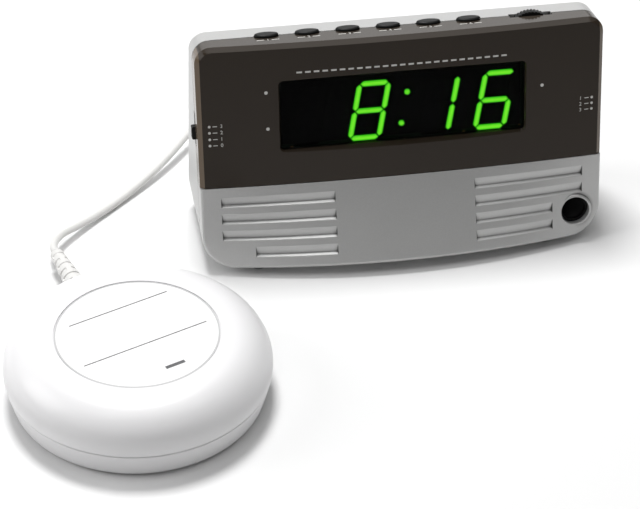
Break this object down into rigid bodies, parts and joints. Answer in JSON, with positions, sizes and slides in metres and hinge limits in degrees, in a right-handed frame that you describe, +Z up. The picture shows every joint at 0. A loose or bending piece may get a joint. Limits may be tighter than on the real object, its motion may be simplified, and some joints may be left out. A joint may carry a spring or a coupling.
{
  "type": "bed shaker alarm clock",
  "caption": "Leaning digital alarm clock with green display, top buttons, volume wheel and side switches, with a round vibrating puck on a white cord.",
  "frame": {"origin": "on the table, in the middle of the ground that clock and puck cover", "axes": "+X to the clock's right as its user sees it, +Y to its back, +Z up"},
  "size_m": [0.2534, 0.2679, 0.0962],
  "materials": {
    "silver_paint": "satin silver paint on plastic",
    "smoked_plastic": "polished smoked plastic",
    "dark_pane": "dark clear pane",
    "lit_green": "lit LED bars",
    "dark_module": "matt black",
    "board_green": "solder mask",
    "black_plastic": "satin black",
    "battery_jacket": "plain printed jacket",
    "foot_rubber": "matt",
    "screw_steel": "bright steel",
    "white_plastic": "satin gloss white",
    "label_paper": "blank white label",
    "motor_steel": "plated can",
    "weight_brass": "turned",
    "white_vinyl": "white vinyl",
    "tie_black": "plastic band"
  },
  "bodies": {
    "clock_and_shaker": {"front_shell": "silver_paint", "rear_shell": "silver_paint", "lens_cover": "smoked_plastic", "display_window": "dark_pane", "lit_segments": "lit_green", "led_module": "dark_module", "main_board": "board_green", "button_board": "board_green", "tact_switch_1": "black_plastic", "tact_switch_2": "black_plastic", "tact_switch_3": "black_plastic", "tact_switch_4": "black_plastic", "tact_switch_5": "black_plastic", "tact_switch_6": "black_plastic", "volume_pot": "black_plastic", "left_switch": "black_plastic", "right_switch": "black_plastic", "siren_horn": "black_plastic", "siren_can": "black_plastic", "power_inlet": "black_plastic", "shaker_socket": "black_plastic", "battery_snap": "black_plastic", "motor_clamp": "black_plastic", "backup_battery": "battery_jacket", "foot_front_left": "foot_rubber", "foot_front_right": "foot_rubber", "foot_rear_left": "foot_rubber", "foot_rear_right": "foot_rubber", "case_screws": "screw_steel", "board_screws": "screw_steel", "clamp_screws": "screw_steel", "shaker_screws": "screw_steel", "power_pin": "screw_steel", "shaker_top": "white_plastic", "shaker_base": "white_plastic", "shaker_label": "label_paper", "motor_case": "motor_steel", "strain_relief": "white_vinyl", "cord_run": "white_vinyl", "cord_coil": "white_vinyl", "cord_lead": "white_vinyl", "cord_plug": "white_vinyl", "cord_tie": "tie_black"},
    "button_1": {"button_1": "black_plastic"},
    "button_2": {"button_2": "black_plastic"},
    "button_3": {"button_3": "black_plastic"},
    "button_4": {"button_4": "black_plastic"},
    "button_5": {"button_5": "black_plastic"},
    "button_6": {"button_6": "black_plastic"},
    "volume_wheel": {"volume_wheel": "black_plastic"},
    "left_knob": {"left_knob": "black_plastic"},
    "right_knob": {"right_knob": "black_plastic"},
    "battery_door": {"battery_door": "silver_paint"},
    "rotor": {"motor_shaft": "screw_steel", "eccentric_weight": "weight_brass"}
  },
  "joints": [
    {"name": "button_1_press", "type": "slide", "parent": "clock_and_shaker", "child": "button_1", "axis": [0, -0.2113, -0.9774], "range_m": [0, 0.001], "stiffness_N_per_m": 1200},
    {"name": "button_2_press", "type": "slide", "parent": "clock_and_shaker", "child": "button_2", "axis": [0, -0.2113, -0.9774], "range_m": [0, 0.001], "stiffness_N_per_m": 1200},
    {"name": "button_3_press", "type": "slide", "parent": "clock_and_shaker", "child": "button_3", "axis": [0, -0.2113, -0.9774], "range_m": [0, 0.001], "stiffness_N_per_m": 1200},
    {"name": "button_4_press", "type": "slide", "parent": "clock_and_shaker", "child": "button_4", "axis": [0, -0.2113, -0.9774], "range_m": [0, 0.001], "stiffness_N_per_m": 1200},
    {"name": "button_5_press", "type": "slide", "parent": "clock_and_shaker", "child": "button_5", "axis": [0, -0.2113, -0.9774], "range_m": [0, 0.001], "stiffness_N_per_m": 1200},
    {"name": "button_6_press", "type": "slide", "parent": "clock_and_shaker", "child": "button_6", "axis": [0, -0.2113, -0.9774], "range_m": [0, 0.001], "stiffness_N_per_m": 1200},
    {"name": "volume_turn", "type": "hinge", "parent": "clock_and_shaker", "child": "volume_wheel", "pos_m": [0.0966, 0.06113, 0.08584], "axis": [0, 0.9774, -0.2113], "range_deg": [-140, 140]},
    {"name": "left_slide", "type": "slide", "parent": "clock_and_shaker", "child": "left_knob", "axis": [0, 0.2113, 0.9774], "range_m": [-0.00275, 0.0055]},
    {"name": "right_slide", "type": "slide", "parent": "clock_and_shaker", "child": "right_knob", "axis": [0, 0.2113, 0.9774], "range_m": [-0.0025, 0.0025]},
    {"name": "battery_door_slide", "type": "slide", "parent": "clock_and_shaker", "child": "battery_door", "axis": [0, 1, 0], "range_m": [0, 0.028]},
    {"name": "rotor_spin", "type": "hinge", "parent": "clock_and_shaker", "child": "rotor", "pos_m": [-0.0753, -0.03419, 0.0144], "axis": [1, 0, 0], "continuous": true}
  ]
}
